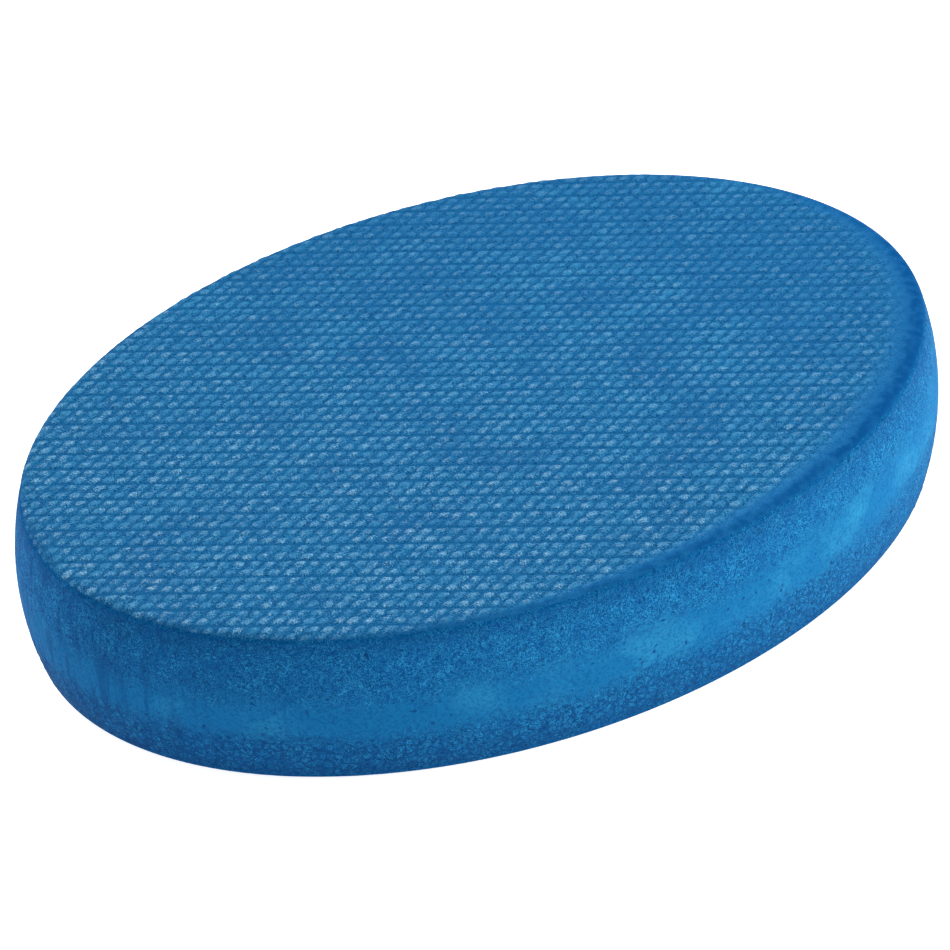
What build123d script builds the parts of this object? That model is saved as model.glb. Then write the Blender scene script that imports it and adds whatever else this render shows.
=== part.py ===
from build123d import *
import math
import os

# Elliptical foam balance pad: three foam slabs between two embossed cover sheets, all bonded face to face.
# The origin is the centre of the face that the pad lies on. +X runs along the pad's length and +Z points up.
# All lengths are in millimetres.

# Overall size
LENGTH = 340.0
WIDTH = 240.0
HEIGHT = 60.0

# Side wall: one arc in section, widest a little below half height, with a rounded edge at each face.
# The arc's radius is that at the two ends of the pad. Along the flanks its depth shrinks with the width.
SIDE_RADIUS = 93.0
WIDEST_LEVEL = 28.0
TOP_EDGE_RADIUS = 3.0
BASE_EDGE_RADIUS = 3.5

# How far the side is made past each face before the faces trim it
TRIM = 5.0

# Layers
COVER_THICKNESS = 3.0
ADHESIVE_THICKNESS = 0.4
ADHESIVE_SETBACK = 3.0
LOWER_SLAB_THICKNESS = 14.4
CORE_SLAB_THICKNESS = 18.6
UPPER_SLAB_THICKNESS = 19.4

# Every layer from the floor up
LAYERS = [
    ("bottom_cover", COVER_THICKNESS),
    ("bottom_cover_adhesive", ADHESIVE_THICKNESS),
    ("lower_slab", LOWER_SLAB_THICKNESS),
    ("lower_slab_adhesive", ADHESIVE_THICKNESS),
    ("core_slab", CORE_SLAB_THICKNESS),
    ("upper_slab_adhesive", ADHESIVE_THICKNESS),
    ("upper_slab", UPPER_SLAB_THICKNESS),
    ("top_cover_adhesive", ADHESIVE_THICKNESS),
    ("top_cover", COVER_THICKNESS),
]


def side_reach(level):
    """Half the pad's length at a height, on the side arc, before the edges are rounded."""
    drop = level - WIDEST_LEVEL
    return LENGTH / 2 - SIDE_RADIUS + math.sqrt(SIDE_RADIUS**2 - drop**2)


def pad_body():
    """The pad's whole outer shape as one solid, before it is cut into layers."""
    low, high = -TRIM, HEIGHT + TRIM
    low_corner = (side_reach(low), low)
    high_corner = (side_reach(high), high)
    with BuildPart() as tall_body:
        with BuildSketch(Plane.XZ):
            with BuildLine():
                Polyline(high_corner, (0, high), (0, low), low_corner)
                ThreePointArc(low_corner, (LENGTH / 2, WIDEST_LEVEL), high_corner)
            make_face()
        revolve(axis=Axis.Z)
    oval_body = scale(tall_body.part, by=(1, WIDTH / LENGTH, 1))
    body = slab(oval_body, 0, HEIGHT)
    faces = body.faces().sort_by(Axis.Z)
    body = fillet(faces[0].edges(), BASE_EDGE_RADIUS)
    return fillet(body.faces().sort_by(Axis.Z)[-1].edges(), TOP_EDGE_RADIUS)


def slab(body, base_level, thickness):
    """The stretch of the pad's outer shape between two heights."""
    cutter = Box(2 * LENGTH, 2 * WIDTH, thickness, align=(Align.CENTER, Align.CENTER, Align.MIN))
    return body & cutter.moved(Location((0, 0, base_level)))


def adhesive_film(base_level, thickness):
    """A film between two layers that stops short of the side all round."""
    reach = min(side_reach(base_level), side_reach(base_level + thickness)) - ADHESIVE_SETBACK
    outline = Ellipse(reach, reach * WIDTH / LENGTH)
    return extrude(outline, thickness).moved(Location((0, 0, base_level)))


def make_layers():
    """Every layer as its own solid, by node name."""
    body = pad_body()
    layers = {}
    level = 0.0
    for name, thickness in LAYERS:
        if name.endswith("adhesive"):
            layers[name] = adhesive_film(level, thickness)
        else:
            layers[name] = slab(body, level, thickness)
        level += thickness
    return layers


assert math.isclose(sum(thickness for _, thickness in LAYERS), HEIGHT)

os.makedirs("parts", exist_ok=True)
for name, solid in make_layers().items():
    export_step(solid, f"parts/{name}.step")
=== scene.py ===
import math

import bmesh
import bpy
import numpy as np
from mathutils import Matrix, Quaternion, Vector, noise


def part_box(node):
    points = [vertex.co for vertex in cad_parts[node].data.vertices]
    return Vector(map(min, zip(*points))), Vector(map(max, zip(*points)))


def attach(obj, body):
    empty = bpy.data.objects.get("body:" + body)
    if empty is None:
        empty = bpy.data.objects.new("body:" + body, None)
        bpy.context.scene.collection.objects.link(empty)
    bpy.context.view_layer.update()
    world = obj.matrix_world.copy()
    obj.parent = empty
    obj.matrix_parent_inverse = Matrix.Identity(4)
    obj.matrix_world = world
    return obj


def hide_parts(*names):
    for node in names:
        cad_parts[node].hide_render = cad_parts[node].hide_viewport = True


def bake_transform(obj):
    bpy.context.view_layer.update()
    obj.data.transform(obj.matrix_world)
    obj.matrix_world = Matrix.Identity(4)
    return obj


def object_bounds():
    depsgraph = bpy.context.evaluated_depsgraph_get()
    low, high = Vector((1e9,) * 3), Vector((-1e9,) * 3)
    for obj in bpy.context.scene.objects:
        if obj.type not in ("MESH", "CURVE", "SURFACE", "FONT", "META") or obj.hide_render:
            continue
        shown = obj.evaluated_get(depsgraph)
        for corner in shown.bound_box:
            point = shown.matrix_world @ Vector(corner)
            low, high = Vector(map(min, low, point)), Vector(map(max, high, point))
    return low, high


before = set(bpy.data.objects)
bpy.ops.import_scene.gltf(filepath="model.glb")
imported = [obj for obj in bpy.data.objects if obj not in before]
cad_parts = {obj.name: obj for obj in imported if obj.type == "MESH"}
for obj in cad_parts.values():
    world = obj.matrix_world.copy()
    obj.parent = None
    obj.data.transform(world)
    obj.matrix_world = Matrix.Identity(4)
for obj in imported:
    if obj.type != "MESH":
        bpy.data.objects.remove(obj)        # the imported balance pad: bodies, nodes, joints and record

MM = 0.001

CAD_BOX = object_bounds()
SIZE = CAD_BOX[1] - CAD_BOX[0]
WIDTH_SHARE = SIZE.y / SIZE.x
BASE, TOP = "base", "top"        # the two bodies that the joint foam_compression joins

# Side wall in section, as in the solids
SIDE_RADIUS = 93 * MM
WIDEST_LEVEL = 28 * MM
SIDE_SPACING = 0.55 * MM         # between the points of the side's mesh
FILM_SETBACK = 2.8 * MM          # how far the hidden adhesive films stay behind the side
OUTLINE_STEPS = 7200             # straight stretches that stand for the oval when it is measured

# Seams between the pieces: the covers start at their own faces, the slabs meet halfway
LOW_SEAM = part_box("bottom_cover")[1].z
LOWER_CORE_SEAM = (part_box("lower_slab")[1].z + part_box("core_slab")[0].z) / 2
CORE_UPPER_SEAM = (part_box("core_slab")[1].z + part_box("upper_slab")[0].z) / 2
HIGH_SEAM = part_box("top_cover")[0].z

# Embossing: slanted bumps in rows that run askew to the pad's length
ROW_ANGLE = math.radians(-33)
PITCH = 4.92 * MM
ROW_SPACING = 4.2 * MM
ROW_SLANT = 0.545                # how far the next row is shifted, as a share of the pitch
ALONG_STEPS = np.array([0.0, 0.16, 0.32, 0.5, 0.68, 0.84])
ACROSS_STEPS = np.array([0.0, 0.19, 0.4, 0.6, 0.81])
BUMP_HEIGHT = 0.65 * MM
BUMP_BASE = 0.45                 # share of a bump that lies below the plain level of the face
BUMP_LEAN = 0.5                  # how far a bump's own shape follows the slant of the rows
BUMP_CORNERS = 2.2               # 2 makes a bump oval in plan, and more makes its corners fuller
FURROW_HEIGHT = 0.34             # of the shallow furrows, as a share of a bump
CRUMPLE = 0.16                   # height of the fine wrinkles, as a share of a bump
CRUMPLE_SCALE = 620              # of their noise, per metre
BUMP_KINDS = 128                 # rows and columns before the bumps' random draws repeat
ON_LINE = 1e-6                   # puts a point on a lattice line surely into the cell beyond it
PLAIN_TINT = 0.4                 # what the attribute emboss says where there is no embossing

# Rounded rim of a cover
RIM_RADIUS = 3.0 * MM
EMBOSSED_REACH = 3.2 * MM        # how far round the rim the embossed mesh goes
FILLED_GAP = 0.35 * MM           # between that mesh and the first plain ring of the rim
WELL_INSIDE = -20 * MM           # stands for the distance beyond the edge anywhere near the middle
CUT_START, CUT_FADE = 2.0 * MM, 1.6 * MM      # where the skin turns into cut foam on the rim
CALM_SIDE = math.radians(-35)    # where along the outline the embossing fades out earliest

# Smooth band round the side. It rises towards the pad's right end.
BAND_LEFT, BAND_RIGHT = -60 * MM, 120 * MM
BAND_LOW = (18.5 * MM, 23 * MM)
BAND_HIGH = (34.5 * MM, 42 * MM)

# Relief of the cut foam: height in millimetres and scale of the noise per metre
SWELL = 0.05, 60
HOLLOWS = 0.10, 230
NAP = 0.13, 760
PEBBLES = 0.28, 330
PITS = 0.9, 310


# --- outline -------------------------------------------------------------------------------

def side_reach(level):
    """Half the pad's length at a height."""
    return SIZE.x / 2 - SIDE_RADIUS + math.sqrt(SIDE_RADIUS**2 - (level - WIDEST_LEVEL) ** 2)


def outline_length():
    """Length of the pad's outline at its widest level."""
    a, b = SIZE.x / 2, SIZE.y / 2
    return math.pi * (3 * (a + b) - math.sqrt((3 * a + b) * (a + 3 * b)))


def even_angles(count):
    """Parameters that divide the pad's oval outline into stretches of equal length."""
    fine = np.linspace(0, 2 * math.pi, OUTLINE_STEPS + 1)
    points = np.stack([np.cos(fine), WIDTH_SHARE * np.sin(fine)], 1)
    steps = np.linalg.norm(np.diff(points, axis=0), axis=1)
    travelled = np.concatenate([[0], np.cumsum(steps)])
    return np.interp(np.arange(count) / count * travelled[-1], travelled, fine)


ANGLES = even_angles(round(outline_length() / SIDE_SPACING))


def outward(angles):
    """Horizontal directions that leave the outline squarely."""
    normal = np.stack([np.cos(angles) * WIDTH_SHARE, np.sin(angles)], -1)
    return normal / np.linalg.norm(normal, axis=-1, keepdims=True)


def oval(angles, reach):
    """Points of the oval whose half length is reach."""
    return np.stack([reach * np.cos(angles), reach * WIDTH_SHARE * np.sin(angles)], -1)


def nearest_on_oval(x, y, reach):
    """Parameter of the oval's nearest point and the distance beyond it, by Newton's method."""
    a, b = reach, reach * WIDTH_SHARE
    t = np.arctan2(y / b, x / a)
    for _ in range(5):
        sin, cos = np.sin(t), np.cos(t)
        slope = (b * b - a * a) * sin * cos + a * x * sin - b * y * cos
        bend = (b * b - a * a) * (cos * cos - sin * sin) + a * x * cos + b * y * sin
        t = t - slope / np.where(np.abs(bend) < 1e-6, 1e-6, bend)
    offset = np.stack([x, y], -1) - oval(t, reach)
    return t, (offset * outward(t)).sum(-1)


def smooth_step(t):
    t = np.clip(t, 0.0, 1.0)
    return t * t * (3 - 2 * t)


# --- mesh helpers --------------------------------------------------------------------------

def mesh_piece(name, bm, material):
    """A smooth object from a bmesh, with its resting coordinates kept for the materials."""
    rest = bm.verts.layers.float_vector.new("rest")
    for v in bm.verts:
        v[rest] = v.co
    for face in bm.faces:
        face.smooth = True
    mesh = bpy.data.meshes.new(name)
    bm.to_mesh(mesh)
    bm.free()
    mesh.materials.append(material)
    piece = bpy.data.objects.new(name, mesh)
    bpy.context.scene.collection.objects.link(piece)
    return piece


def add_ring(bm, points):
    return [bm.verts.new(p) for p in points]


def join_rings(bm, low, high):
    """Quads between two rings of equal count."""
    for k in range(len(low)):
        after = (k + 1) % len(low)
        bm.faces.new((low[k], low[after], high[after], high[k]))


def close_end(bm, ring, cap_level, facing_up):
    """A hidden flat end: a strip at the seam, and a face at cap_level with room for a film."""
    seam_level = ring[0].co.z
    flat = oval(ANGLES, side_reach(seam_level)) - FILM_SETBACK * outward(ANGLES)
    rings = [ring]
    for level in dict.fromkeys((seam_level, cap_level)):
        rings.append(add_ring(bm, np.column_stack([flat, np.full(len(flat), level)])))
    for outer, inner in zip(rings, rings[1:]):
        if facing_up:
            join_rings(bm, outer, inner)
        else:
            join_rings(bm, inner, outer)
    bm.faces.new(rings[-1] if facing_up else rings[-1][::-1])
    for k in range(len(ring)):
        bm.edges.get((ring[k - 1], ring[k])).smooth = False


# --- foam slabs ----------------------------------------------------------------------------

def roughness_at(p):
    """0 in the smooth band round the middle of the side and 1 above and below it."""
    level = p.z + 2.0 * MM * noise.noise(p * 45) + 2.5 * MM * noise.noise(p * 300)
    rise = smooth_step((p.x - BAND_LEFT) / (BAND_RIGHT - BAND_LEFT))
    low = BAND_LOW[0] + (BAND_LOW[1] - BAND_LOW[0]) * rise
    high = BAND_HIGH[0] + (BAND_HIGH[1] - BAND_HIGH[0]) * rise
    above = smooth_step((level - high + 4 * MM) / (8 * MM))
    below = smooth_step((low + 2.5 * MM - level) / (5 * MM))
    return max(above, below)


def foam_relief(p):
    """How far the foam's cut skin stands out at a point."""
    rough = roughness_at(p)
    swell = SWELL[0] * noise.noise(p * SWELL[1])
    hollow = HOLLOWS[0] * noise.noise(p * HOLLOWS[1])
    nap = NAP[0] * noise.noise(p * NAP[1] + Vector((5, 1, 9)))
    pebble = 0.0
    if p.z < BAND_LOW[0]:
        spread = noise.voronoi(p * PEBBLES[1])[0]
        pebble = PEBBLES[0] * min(spread[1] - spread[0], 0.5) - 0.07
    pit = PITS[0] * max(0.0, noise.noise(p * PITS[1] + Vector((2, 8, 4))) - 0.5)
    return (swell + rough * (hollow + nap + pebble) - pit) * MM


def relieved(points, normals):
    """Points moved along their normals by the foam's relief."""
    lift = np.array([foam_relief(Vector(p)) for p in points])
    return points + normals * lift[:, None]


def side_ring(level):
    """One level of the pad's side."""
    flat = oval(ANGLES, side_reach(level))
    points = np.column_stack([flat, np.full(len(flat), level)])
    normals = np.column_stack([outward(ANGLES), np.zeros(len(flat))])
    return relieved(points, normals)


def foam_slab(name, node, low, high, material):
    """One slab of the pad with its bulged, cut side."""
    levels = np.linspace(low, high, max(3, round((high - low) / SIDE_SPACING) + 1))
    bm = bmesh.new()
    rings = [add_ring(bm, side_ring(level)) for level in levels]
    for below, above in zip(rings, rings[1:]):
        join_rings(bm, below, above)
    close_end(bm, rings[0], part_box(node)[0].z, facing_up=False)
    close_end(bm, rings[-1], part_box(node)[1].z, facing_up=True)
    return mesh_piece(name, bm, material)


# --- embossed covers -----------------------------------------------------------------------

def embossing(x, y, seed):
    """Height of the embossed bumps, 0 to 1, at points of a face. No two bumps are quite alike.

    Every second furrow between the rows is deep and straight. The others are shallow.
    """
    # place in the pattern: which bump, and where in its cell
    along = (x * math.cos(ROW_ANGLE) + y * math.sin(ROW_ANGLE)) / PITCH
    across = (-x * math.sin(ROW_ANGLE) + y * math.cos(ROW_ANGLE)) / ROW_SPACING
    slanted = along - ROW_SLANT * across
    row = np.floor(across + ON_LINE)
    column = np.floor(slanted + ON_LINE)
    a, b = slanted - column, across - row
    draws = np.random.default_rng(seed).random((6, BUMP_KINDS, BUMP_KINDS))
    kind = column.astype(int) % BUMP_KINDS, row.astype(int) % BUMP_KINDS
    draw = [layer[kind] for layer in draws]

    # the furrows between the bumps
    groove = smooth_step(1 - np.where(row % 2 == 0, b, 1 - b) / 0.22)
    b = b - 0.5 + 0.12 * (draw[0] - 0.5)
    a = a - 0.5 + (1 - BUMP_LEAN) * ROW_SLANT * b
    gap = smooth_step((np.abs(a) - 0.34) / 0.14)
    furrow = FURROW_HEIGHT * (1 - groove) * (1 - 0.75 * gap)

    # the bumps themselves, each with its own place, size, height and tilt
    a = a + 0.18 * (draw[1] - 0.5)
    half_a = 0.33 + 0.11 * draw[2]
    half_b = 0.37 + 0.11 * draw[3] - 0.08 * (row % 2)
    corners = np.abs(a / half_a) ** BUMP_CORNERS + np.abs(b / half_b) ** BUMP_CORNERS
    bump = smooth_step((1.30 - corners ** (1 / BUMP_CORNERS)) / 0.95)
    tilt = 1.1 * (draw[4] - 0.9) * a + 1.1 * (draw[5] - 0.1) * b
    height = np.maximum(bump * (0.62 + 0.38 * draw[0] + tilt), furrow)

    places = zip(x.flat, y.flat)
    crumple = [noise.noise(Vector((px, py, seed)) * CRUMPLE_SCALE) for px, py in places]
    return np.clip(height + CRUMPLE * np.reshape(crumple, x.shape), 0.0, 1.0)


def lattice_grid(reach):
    """Grid points of a face that follow the rows and the slant of the bumps."""
    columns = math.ceil(reach / PITCH) + 2
    rows = math.ceil(reach / ROW_SPACING) + 2
    a = (np.arange(-columns, columns)[:, None] + ALONG_STEPS).ravel()
    b = (np.arange(-rows, rows)[:, None] + ACROSS_STEPS).ravel()
    a, b = np.meshgrid(a, b, indexing="ij")
    u = (a + ROW_SLANT * b) * PITCH
    v = b * ROW_SPACING
    x = u * math.cos(ROW_ANGLE) - v * math.sin(ROW_ANGLE)
    y = u * math.sin(ROW_ANGLE) + v * math.cos(ROW_ANGLE)
    return x, y


class Rim:
    """Where the rounded rim of a cover runs, from the flat face to the side."""

    def __init__(self, face_level, up):
        self.up = up
        self.plain_level = face_level - up * BUMP_HEIGHT * (1 - BUMP_BASE)
        self.slope = math.asin(abs(self.plain_level - WIDEST_LEVEL) / SIDE_RADIUS)
        self.start_level = self.plain_level - up * RIM_RADIUS * (1 - math.sin(self.slope))
        self.start_reach = side_reach(self.start_level)
        self.flat_inset = RIM_RADIUS * math.cos(self.slope)
        self.length = RIM_RADIUS * (math.pi / 2 - self.slope)

    def unrolled(self, angles, beyond):
        """Plan points of the rim if it lay flat, at a distance beyond the face's edge."""
        shift = (beyond - self.flat_inset)[..., None]
        return oval(angles, self.start_reach) + outward(angles) * shift

    def rolled(self, angles, beyond):
        """Points and normals of the rounded rim."""
        turn = math.pi / 2 - beyond / RIM_RADIUS
        inset = RIM_RADIUS * (math.cos(self.slope) - np.cos(turn))
        normal = outward(angles)
        flat = oval(angles, self.start_reach) - normal * inset[..., None]
        level = self.plain_level - self.up * RIM_RADIUS * (1 - np.sin(turn))
        normal = np.concatenate([normal * np.cos(turn)[..., None],
                                 self.up * np.sin(turn)[..., None]], -1)
        return np.concatenate([flat, level[..., None]], -1), normal


def calmness(angles, least):
    """0 where the embossing runs over the rim, and 1 where it stops well short of it."""
    return np.maximum((0.5 + 0.5 * np.cos(angles - CALM_SIDE)) ** 3, least)


def rim_share(calm, beyond):
    """How much of the rim's own smooth, darker skin shows. The distances are millimetres."""
    start = (-0.5 - 6.5 * calm) * MM
    return (0.15 + 0.70 * calm) * smooth_step((beyond - start) / ((2.5 + 6.0 * calm) * MM))


def emboss_share(calm, beyond):
    """How much of their pattern the bumps keep near and on the rim, again in millimetres."""
    end = (4.4 - 4.9 * calm) * MM
    return smooth_step((end - beyond) / ((2.0 + 12.0 * calm) * MM))


def face_grid(rim):
    """Lattice points of a face and the start of its rim, laid flat.

    Returns their plan places, their parameters on the outline, how far they lie beyond the edge of
    the flat face, and the lattice's quads that are used.
    """
    x, y = lattice_grid(rim.start_reach)
    angles, beyond = nearest_on_oval(x, y, rim.start_reach)
    inside = np.hypot(x, y / WIDTH_SHARE) < 0.85 * rim.start_reach
    beyond = np.where(inside, WELL_INSIDE, beyond + rim.flat_inset)
    kept = beyond < EMBOSSED_REACH
    kept = kept[:-1, :-1] & kept[1:, :-1] & kept[:-1, 1:] & kept[1:, 1:]
    return x, y, angles, beyond, np.argwhere(kept)


def embossed_places(rim, x, y, angles, beyond, lift):
    """Where the lattice points lie once the rim is rolled and the bumps stand out by lift."""
    flat = np.stack([x, y, np.full_like(x, rim.plain_level)], -1)
    straight_up = np.zeros_like(flat) + (0, 0, rim.up)
    rolled, rolled_normal = rim.rolled(angles, np.maximum(beyond, 0))
    on_rim = (beyond > 0)[..., None]
    normal = np.where(on_rim, rolled_normal, straight_up)
    return np.where(on_rim, rolled, flat) + normal * lift[..., None]


def add_lattice(bm, x, y, quads, paint, layers):
    """The quads of a face, laid flat and painted. Returns the vertices by their lattice indices."""
    verts = {}

    def vertex(i, j):
        if (i, j) not in verts:
            v = bm.verts.new((x[i, j], y[i, j], 0))
            for key, layer in layers.items():
                v[layer] = paint[key][i, j]
            verts[i, j] = v
        return verts[i, j]

    for i, j in quads:
        bm.faces.new((vertex(i, j), vertex(i + 1, j), vertex(i + 1, j + 1), vertex(i, j + 1)))
    return verts


def fill_to_ring(bm, ring):
    """Triangles from the open border of a flat mesh to a ring of vertices round it."""
    border = [e for e in bm.edges if e.is_boundary]
    border += [bm.edges.new((ring[k - 1], ring[k])) for k in range(len(ring))]
    bmesh.ops.triangle_fill(bm, use_beauty=True, edges=border, normal=(0, 0, 1))


def add_plain_rim(bm, rim, first, seam, layers, least_calm):
    """The rest of the rim: from its first ring over its end to the seam. Returns the last ring."""
    points, normals = rim.rolled(ANGLES, np.full(len(ANGLES), rim.length))
    rings = [first, add_ring(bm, relieved(points, normals)), add_ring(bm, side_ring(seam))]
    for above, below in zip(rings, rings[1:]):
        join_rings(bm, below, above)
    rim_tint = rim_share(calmness(ANGLES, least_calm), rim.length)
    for ring in rings:
        for v, tint in zip(ring, rim_tint):
            v[layers["emboss"]] = PLAIN_TINT
            v[layers["rim"]] = tint
            v[layers["cut"]] = 1.0
    return rings[-1]


def embossed_cover(name, seam, face_level, material, seed, least_calm):
    """A cover sheet: embossed outside, rounded at the rim, and flat where it meets the foam."""
    rim = Rim(face_level, up=1 if face_level > seam else -1)
    x, y, angles, beyond, quads = face_grid(rim)
    calm = calmness(angles, least_calm)
    share = emboss_share(calm, beyond)
    emboss = embossing(x, y, seed)
    relief = share * (1 - 0.65 * smooth_step(beyond / RIM_RADIUS)) * BUMP_HEIGHT
    place = embossed_places(rim, x, y, angles, beyond, relief * (emboss - BUMP_BASE))
    paint = {        # what the material reads at each point, by the name of the attribute
        "emboss": PLAIN_TINT + share * (emboss - PLAIN_TINT),
        "rim": rim_share(calm, beyond),
        "cut": smooth_step((beyond - CUT_START) / CUT_FADE),
        "pattern": share,
    }
    bm = bmesh.new()
    layers = {key: bm.verts.layers.float.new(key) for key in paint}
    verts = add_lattice(bm, x, y, quads, paint, layers)

    # The gap up to the plain rim is filled while everything lies flat. Then the rim is rolled.
    reach = np.full(len(ANGLES), EMBOSSED_REACH + FILLED_GAP)
    first = add_ring(bm, np.column_stack([rim.unrolled(ANGLES, reach), np.zeros(len(ANGLES))]))
    fill_to_ring(bm, first)
    for key, v in verts.items():
        v.co = place[key]
    for v, p in zip(first, rim.rolled(ANGLES, reach)[0]):
        v.co = p

    last = add_plain_rim(bm, rim, first, seam, layers, least_calm)
    close_end(bm, last, seam, facing_up=False)
    bmesh.ops.recalc_face_normals(bm, faces=bm.faces)
    return mesh_piece(name, bm, material)


# --- materials -----------------------------------------------------------------------------

class Shader:
    """A node material being put together, with short calls for the nodes that the pad needs."""

    def __init__(self, name, place="rest"):
        self.material = bpy.data.materials.new(name)
        self.material.use_nodes = True
        self.tree = self.material.node_tree
        self.tree.nodes.clear()
        output = self.tree.nodes.new("ShaderNodeOutputMaterial")
        self.bsdf = self.node("ShaderNodeBsdfPrincipled")
        self.link(self.bsdf.outputs["BSDF"], output.inputs["Surface"])
        if place == "rest":
            self.place = self.node("ShaderNodeAttribute", attribute_name="rest").outputs["Vector"]
        else:
            self.place = self.node("ShaderNodeTexCoord").outputs["Object"]

    def node(self, kind, **settings):
        made = self.tree.nodes.new(kind)
        for key, value in settings.items():
            setattr(made, key, value)
        return made

    def link(self, source, target):
        if isinstance(source, (int, float, tuple)):
            target.default_value = source
        else:
            self.tree.links.new(source, target)

    def noise(self, scale, detail=2.0, rough=0.5, stretch=(1, 1, 1), distortion=0.0):
        where = self.node("ShaderNodeMapping")
        where.inputs["Scale"].default_value = stretch
        self.link(self.place, where.inputs["Vector"])
        made = self.node("ShaderNodeTexNoise")
        self.link(where.outputs["Vector"], made.inputs["Vector"])
        made.inputs["Scale"].default_value = scale
        made.inputs["Detail"].default_value = detail
        made.inputs["Roughness"].default_value = rough
        made.inputs["Distortion"].default_value = distortion
        return made.outputs["Fac"]

    def cell_edges(self, scale):
        """Distance to the edge of the nearest of many irregular cells."""
        made = self.node("ShaderNodeTexVoronoi", feature="DISTANCE_TO_EDGE")
        self.link(self.place, made.inputs["Vector"])
        made.inputs["Scale"].default_value = scale
        return made.outputs["Distance"]

    def ramp(self, value, low, high, start=0.0, end=1.0):
        """value from low to high becomes start to end, smoothly and held at both ends."""
        made = self.node("ShaderNodeMapRange", interpolation_type="SMOOTHSTEP")
        for socket, number in zip(list(made.inputs)[1:5], (low, high, start, end)):
            self.link(number, socket)
        self.link(value, made.inputs["Value"])
        return made.outputs["Result"]

    def maths(self, operation, *values):
        made = self.node("ShaderNodeMath", operation=operation)
        for socket, value in zip(made.inputs, values):
            self.link(value, socket)
        return made.outputs["Value"]

    def mix(self, share, first, second):
        made = self.node("ShaderNodeMix", data_type="RGBA")
        factor, a, b = made.inputs[0], made.inputs[6], made.inputs[7]
        self.link(share, factor)
        self.link(first, a)
        self.link(second, b)
        return made.outputs[2]

    def attribute(self, name):
        return self.node("ShaderNodeAttribute", attribute_name=name).outputs["Fac"]

    def axis(self, name):
        split = self.node("ShaderNodeSeparateXYZ")
        self.link(self.place, split.inputs["Vector"])
        return split.outputs[name]

    def bump(self, value, distance, strength=1.0):
        made = self.node("ShaderNodeBump")
        made.inputs["Distance"].default_value = distance
        made.inputs["Strength"].default_value = strength
        self.link(value, made.inputs["Height"])
        return made.outputs["Normal"]

    def finish(self, color, roughness, normal, specular=0.4):
        self.link(color, self.bsdf.inputs["Base Color"])
        self.link(roughness, self.bsdf.inputs["Roughness"])
        self.link(normal, self.bsdf.inputs["Normal"])
        self.bsdf.inputs["Specular IOR Level"].default_value = specular
        return self.material


EDGE_SHADE = (18 * MM, 28 * MM)  # distance from the middle level over which cut foam gets darker

DARK_FOAM = (0.0010, 0.066, 0.220, 1)
DEEP_FOAM = (0.0005, 0.040, 0.155, 1)
CURL_FOAM = (0.0190, 0.245, 0.530, 1)
BAND_FOAM = (0.0130, 0.168, 0.358, 1)
BAND_SHADE = (0.0040, 0.116, 0.295, 1)


def cut_foam(s):
    """Colour and height of cut foam: pale curls on a dark ground, and sunk spots whose darker colour is
    painted shade in the pits.
    """
    nap = s.noise(900, 1.5, 0.6, distortion=1.3)
    curl = s.ramp(s.maths("ABSOLUTE", s.maths("SUBTRACT", nap, 0.5)), 0.0, 0.080, 1.0, 0.0)
    spots = s.ramp(s.noise(620, 2, 0.6), 0.31, 0.42, 1.0, 0.0)
    strength = s.ramp(s.noise(150, 2), 0.3, 0.65, 0.45, 1.0)
    color = s.mix(s.maths("MULTIPLY", curl, strength), DARK_FOAM, CURL_FOAM)
    # painted shade in the sunk spots
    color = s.mix(s.maths("MULTIPLY", spots, 0.7), color, DEEP_FOAM)
    middle_level = (LOW_SEAM + HIGH_SEAM) / 2
    from_middle = s.maths("ABSOLUTE", s.maths("SUBTRACT", s.axis("Z"), middle_level))
    color = s.mix(s.ramp(from_middle, *EDGE_SHADE, 0.0, 0.40), color, DEEP_FOAM)
    raised = s.maths("MULTIPLY", curl, strength)
    sunk = s.maths("MULTIPLY", spots, 0.8)
    return color, s.maths("SUBTRACT", raised, sunk)


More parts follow.
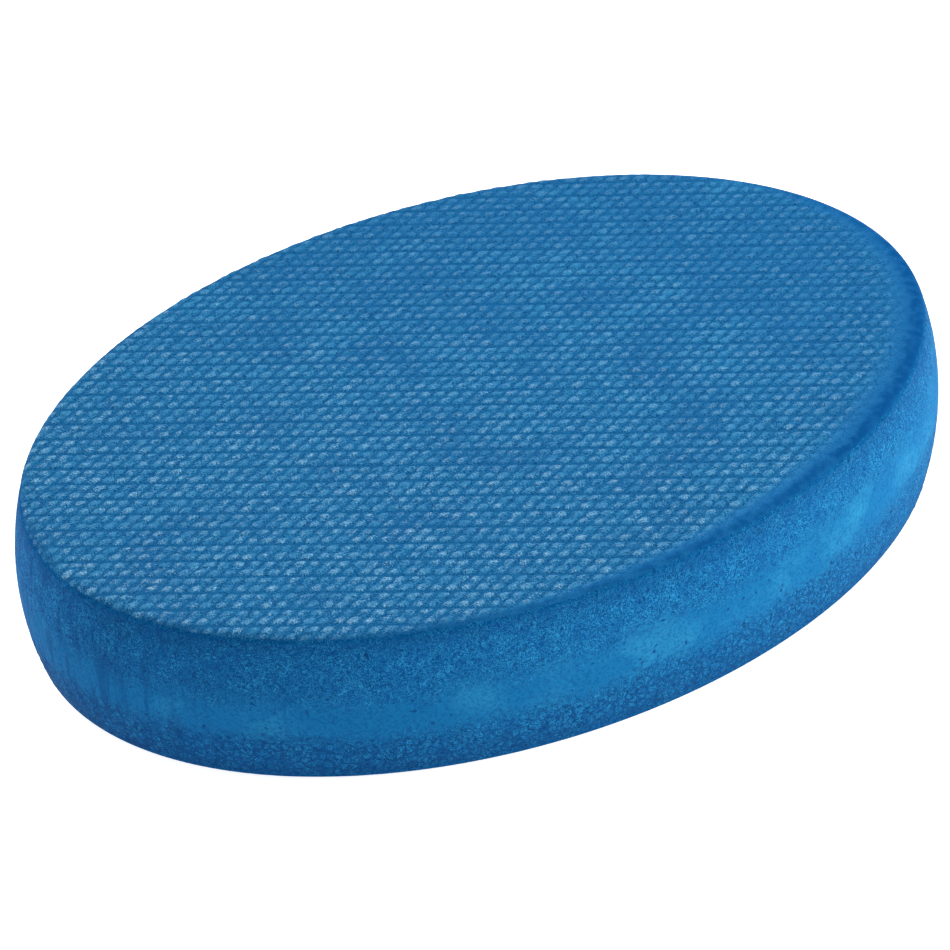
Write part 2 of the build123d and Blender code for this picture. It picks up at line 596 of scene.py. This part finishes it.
def foam_material(name):
    """Foam of the side: napped and spotted above and below a smoother, paler band."""
    s = Shader(name)
    wander = s.ramp(s.noise(45, 2), 0.2, 0.8, -2.0 * MM, 2.0 * MM)
    ragged = s.ramp(s.noise(420, 3, 0.7), 0.25, 0.75, -4.0 * MM, 4.0 * MM)
    level = s.maths("ADD", s.axis("Z"), s.maths("ADD", wander, ragged))
    low = s.ramp(s.axis("X"), BAND_LEFT, BAND_RIGHT, *BAND_LOW)
    high = s.ramp(s.axis("X"), BAND_LEFT, BAND_RIGHT, *BAND_HIGH)
    above = s.ramp(s.maths("SUBTRACT", level, high), -6 * MM, 7 * MM)
    below = s.ramp(s.maths("SUBTRACT", low, level), -8 * MM, 3.5 * MM)
    cut, cut_height = cut_foam(s)
    pebbles = s.ramp(s.cell_edges(330), 0.02, 0.17, 0.6, 0.0)
    pebbles = s.maths("MULTIPLY", pebbles, s.ramp(s.axis("X"), 0.05, 0.14, 1.0, 0.4))
    cut = s.mix(s.maths("MULTIPLY", pebbles, below), cut, DEEP_FOAM)
    # random cloudy tone in the band, plus painted shade that darkens it towards the left end
    cloud = s.maths("ADD", s.noise(45, 3), s.ramp(s.axis("X"), -0.15, 0.05, 0.11, 0.0))
    band = s.mix(s.ramp(cloud, 0.38, 0.62), BAND_FOAM, BAND_SHADE)
    band = s.mix(s.ramp(s.noise(150, 4, 0.7), 0.42, 0.65, 0.0, 0.35), band, BAND_SHADE)
    band = s.mix(s.ramp(s.noise(900, 2), 0.42, 0.66, 0.0, 0.55), band, DARK_FOAM)
    rough_zone = s.maths("MAXIMUM", above, below)
    color = s.mix(rough_zone, band, cut)
    streaks = s.ramp(s.noise(340, 2, stretch=(1, 1, 0.12)), 0.45, 0.65, 0.0, 0.45)
    streaks = s.maths("MULTIPLY", streaks, s.ramp(s.axis("X"), -0.165, -0.12, 1.0, 0.0))
    color = s.mix(streaks, color, DEEP_FOAM)
    specks = s.ramp(s.noise(420, 1), 0.24, 0.29, 0.85, 0.0)
    color = s.mix(specks, color, DEEP_FOAM)
    depth = s.maths("MULTIPLY", cut_height, s.ramp(rough_zone, 0.0, 1.0, 0.15, 1.0))
    normal = s.bump(depth, 0.16 * MM, 0.9)
    roughness = s.ramp(s.noise(600, 2), 0.3, 0.7, 0.78, 0.95)
    return s.finish(color, roughness, normal, specular=0.06)


COVER_VALLEY = (0.0062, 0.094, 0.247, 1)
COVER_CREST = (0.0230, 0.182, 0.382, 1)
# pale colour that paints glints on the wrinkles of the bumps
COVER_GLINT = (0.3200, 0.530, 0.690, 1)
COVER_PORE = (0.0005, 0.045, 0.150, 1)
COVER_SHADE = (0.0070, 0.096, 0.262, 1)
COVER_RIM = (0.0010, 0.050, 0.180, 1)
COVER_CALM = (0.0045, 0.082, 0.245, 1)


def cover_material():
    """Embossed skin: deep blue valleys, painted glints on the wrinkled bumps, painted shade towards the
    far right corner, and a darker, smooth rim.
    """
    s = Shader("cover_skin")
    pattern = s.attribute("pattern")
    corner = s.maths("ADD", s.axis("X"), s.axis("Y"))
    # where light is painted: the glints and a stronger grain grow towards the front left of the face
    glint_side = s.maths("MULTIPLY", s.ramp(corner, -0.16, 0.16, 1.0, 0.3), pattern)
    ragged = s.ramp(s.noise(300, 3), 0.3, 0.7, -0.2, 0.2)

    # bumps and valleys, with a cloudy tone, painted shade towards the far right corner, and small pores
    grain = s.ramp(s.noise(1700, 2, 0.6), 0.25, 0.75, -0.32, 0.32)
    grain = s.maths("MULTIPLY", grain, s.ramp(glint_side, 0.0, 1.0, 0.45, 1.0))
    emboss = s.maths("ADD", s.attribute("emboss"), grain)
    color = s.mix(s.ramp(emboss, 0.05, 0.65), COVER_VALLEY, COVER_CREST)
    # random cloudy tone, plus painted shade that grows towards the far right corner
    cloud = s.maths("ADD", s.noise(32, 3), s.ramp(corner, -0.06, 0.17, -0.04, 0.17))
    color = s.mix(s.ramp(cloud, 0.42, 0.66, 0.0, 0.5), color, COVER_SHADE)
    pores = s.ramp(s.noise(1250, 2), 0.34, 0.46, 0.8, 0.0)
    color = s.mix(pores, color, COVER_PORE)

    # painted glints: pale highlights along the wrinkles on the bumps, strongest towards the front left
    crinkle = s.noise(1150, 2.5, 0.65, distortion=1.2)
    fold = s.ramp(s.maths("ABSOLUTE", s.maths("SUBTRACT", crinkle, 0.5)), 0.0, 0.06, 1.0, 0.0)
    patches = s.ramp(s.noise(260, 2), 0.40, 0.62, 0.2, 1.0)
    painted_glint = s.maths("MULTIPLY", s.maths("MULTIPLY", fold, patches), s.ramp(emboss, 0.30, 0.75))
    color = s.mix(s.maths("MULTIPLY", painted_glint, glint_side), color, COVER_GLINT)

    # the calm border, the darker rim and the cut foam beyond it
    color = s.mix(s.ramp(pattern, 0.0, 0.9, 0.72, 0.0), color, COVER_CALM)
    rim = s.ramp(s.maths("ADD", s.attribute("rim"), ragged), 0.10, 1.0)
    color = s.mix(rim, color, COVER_RIM)
    cut, cut_height = cut_foam(s)
    cut_share = s.ramp(s.maths("ADD", s.attribute("cut"), ragged), 0.1, 0.7)
    color = s.mix(cut_share, color, cut)

    duller = s.maths("MULTIPLY", s.maths("MAXIMUM", rim, cut_share), 0.35)
    roughness = s.maths("ADD", s.ramp(s.noise(500, 2), 0.3, 0.7, 0.55, 0.75), duller)
    fold_share = s.ramp(pattern, 0.0, 1.0, 0.35, 1.0)
    folds = s.maths("MULTIPLY", s.maths("ADD", crinkle, grain), fold_share)
    cut_height = s.maths("MULTIPLY", s.maths("MULTIPLY", cut_height, cut_share), 0.3)
    normal = s.bump(s.maths("ADD", folds, cut_height), 0.50 * MM)
    return s.finish(color, roughness, normal, specular=0.02)


def adhesive_material():
    """Dull, slightly cloudy film inside the pad."""
    s = Shader("adhesive_film", place="object")
    cloud = s.noise(45, 3)
    color = s.mix(s.ramp(cloud, 0.3, 0.7), (0.50, 0.58, 0.62, 1), (0.60, 0.66, 0.69, 1))
    roughness = s.ramp(cloud, 0.3, 0.7, 0.35, 0.55)
    normal = s.bump(s.noise(400, 2), 0.05 * MM, 0.5)
    return s.finish(color, roughness, normal)


# --- the pad -------------------------------------------------------------------------------

def build_covers():
    skin = cover_material()
    top_cover = embossed_cover("top_cover_sheet", HIGH_SEAM, CAD_BOX[1].z, skin,
                               seed=11, least_calm=0.0)
    bottom_cover = embossed_cover("bottom_cover_sheet", LOW_SEAM, CAD_BOX[0].z, skin,
                                  seed=23, least_calm=0.8)
    for piece, node, body in ((top_cover, "top_cover", TOP), (bottom_cover, "bottom_cover", BASE)):
        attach(piece, body)
        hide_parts(node)


def build_slabs():
    foam = foam_material("slab_foam")
    core = foam_material("core_foam")
    for node, low, high, material, slot in (
        ("lower_slab", LOW_SEAM, LOWER_CORE_SEAM, foam, "slab_foam"),
        ("core_slab", LOWER_CORE_SEAM, CORE_UPPER_SEAM, core, "core_foam"),
        ("upper_slab", CORE_UPPER_SEAM, HIGH_SEAM, foam, "slab_foam"),
    ):
        piece = foam_slab(node + "_foam", node, low, high, material)
        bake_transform(piece)
        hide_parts(node)


def finish_films():
    """The hidden films keep their solids and get a material."""
    film = adhesive_material()
    for name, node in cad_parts.items():
        if name.endswith("adhesive"):
            node.data.materials.clear()
            node.data.materials.append(film)


# --- camera, light and floor ---------------------------------------------------------------

CAMERA_AZIMUTH = -26.69
CAMERA_ELEVATION = 37.95
CAMERA_DISTANCE = 1.574
CAMERA_ROLL = 4.59
CAMERA_AIM = Vector((1.7, 11.9, 14.6)) * MM
CAMERA_LENS = 170.5

WORLD_LIGHT = 0.55
HORIZON_LIGHT = 1.1
HORIZON_FADE = (0.08, 0.30)      # share of straight up at which its light starts and stops fading
FLOOR_GLOW = 0.85
FLOOR_DROP = 0.05 * MM           # keeps the lowest bumps from lying exactly in the floor


def from_centre(azimuth, elevation):
    """Direction from the pad. Azimuth 0 is in front, where -Y is, and 90 is at its right end."""
    a, e = math.radians(azimuth), math.radians(elevation)
    return Vector((math.sin(a) * math.cos(e), -math.cos(a) * math.cos(e), math.sin(e)))


def add_aimed(name, data, location, target, roll=0.0):
    """Puts a camera or light in the scene, looking at a point."""
    aimed = bpy.data.objects.new(name, data)
    aimed.location = location
    aimed.rotation_mode = "QUATERNION"
    look = (target - location).to_track_quat("-Z", "Y")
    aimed.rotation_quaternion = look @ Quaternion((0, 0, 1), math.radians(-roll))
    bpy.context.scene.collection.objects.link(aimed)
    return aimed


def add_camera():
    """A long lens that looks down at the pad from beyond its near left side."""
    data = bpy.data.cameras.new("camera")
    data.lens = CAMERA_LENS
    data.clip_end = 50
    place = from_centre(CAMERA_AZIMUTH, CAMERA_ELEVATION) * CAMERA_DISTANCE
    bpy.context.scene.camera = add_aimed("camera", data, place, CAMERA_AIM, CAMERA_ROLL)


def add_softbox(name, azimuth, elevation, distance, size, power, color=(1, 1, 1)):
    data = bpy.data.lights.new(name, "AREA")
    data.size = size
    data.energy = power
    data.color = color
    add_aimed(name, data, from_centre(azimuth, elevation) * distance, Vector((0, 0, 0.03)))


def add_sun(name, azimuth, elevation, spread, strength, color=(1, 1, 1)):
    data = bpy.data.lights.new(name, "SUN")
    data.angle = math.radians(spread)
    data.energy = strength
    data.color = color
    add_aimed(name, data, from_centre(azimuth, elevation) * 2, Vector((0, 0, 0)))


def add_floor():
    """A wide, plain, pale floor with a faint glow, like a light table."""
    bm = bmesh.new()
    bmesh.ops.create_grid(bm, x_segments=8, y_segments=8, size=12)
    s = Shader("floor")
    speck = s.noise(30, 2)
    color = s.mix(s.ramp(speck, 0.3, 0.7), (0.59, 0.59, 0.59, 1), (0.61, 0.61, 0.61, 1))
    s.bsdf.inputs["Emission Color"].default_value = (1, 1, 1, 1)
    s.bsdf.inputs["Emission Strength"].default_value = FLOOR_GLOW
    normal = s.bump(speck, 0.02 * MM, 0.1)
    floor = mesh_piece("floor", bm, s.finish(color, 0.85, normal, specular=0.1))
    floor.location.z = CAD_BOX[0].z - FLOOR_DROP


def add_world():
    """Soft light from all round, as white at the horizon as the floor and dimmer higher up."""
    world = bpy.data.worlds.new("studio")
    world.use_nodes = True
    tree = world.node_tree
    back = tree.nodes["Background"]
    back.inputs["Color"].default_value = (0.95, 0.98, 1.0, 1)
    split = tree.nodes.new("ShaderNodeSeparateXYZ")
    fall = tree.nodes.new("ShaderNodeMapRange")
    for socket, number in zip(list(fall.inputs)[1:5], (*HORIZON_FADE, HORIZON_LIGHT, WORLD_LIGHT)):
        socket.default_value = number
    direction = tree.nodes.new("ShaderNodeTexCoord").outputs["Generated"]
    tree.links.new(direction, split.inputs["Vector"])
    tree.links.new(split.outputs["Z"], fall.inputs["Value"])
    tree.links.new(fall.outputs["Result"], back.inputs["Strength"])
    bpy.context.scene.world = world


def light_studio():
    add_world()
    add_floor()
    add_sun("key", azimuth=60, elevation=11, spread=30, strength=4.7, color=(1.0, 0.91, 0.76))
    add_sun("window", azimuth=192, elevation=34, spread=25, strength=3.4)
    add_softbox("fill", azimuth=70, elevation=50, distance=0.8, size=0.4, power=1.9)
    bpy.context.scene.view_settings.view_transform = "Standard"


build_covers()
build_slabs()
finish_films()
light_studio()
add_camera()
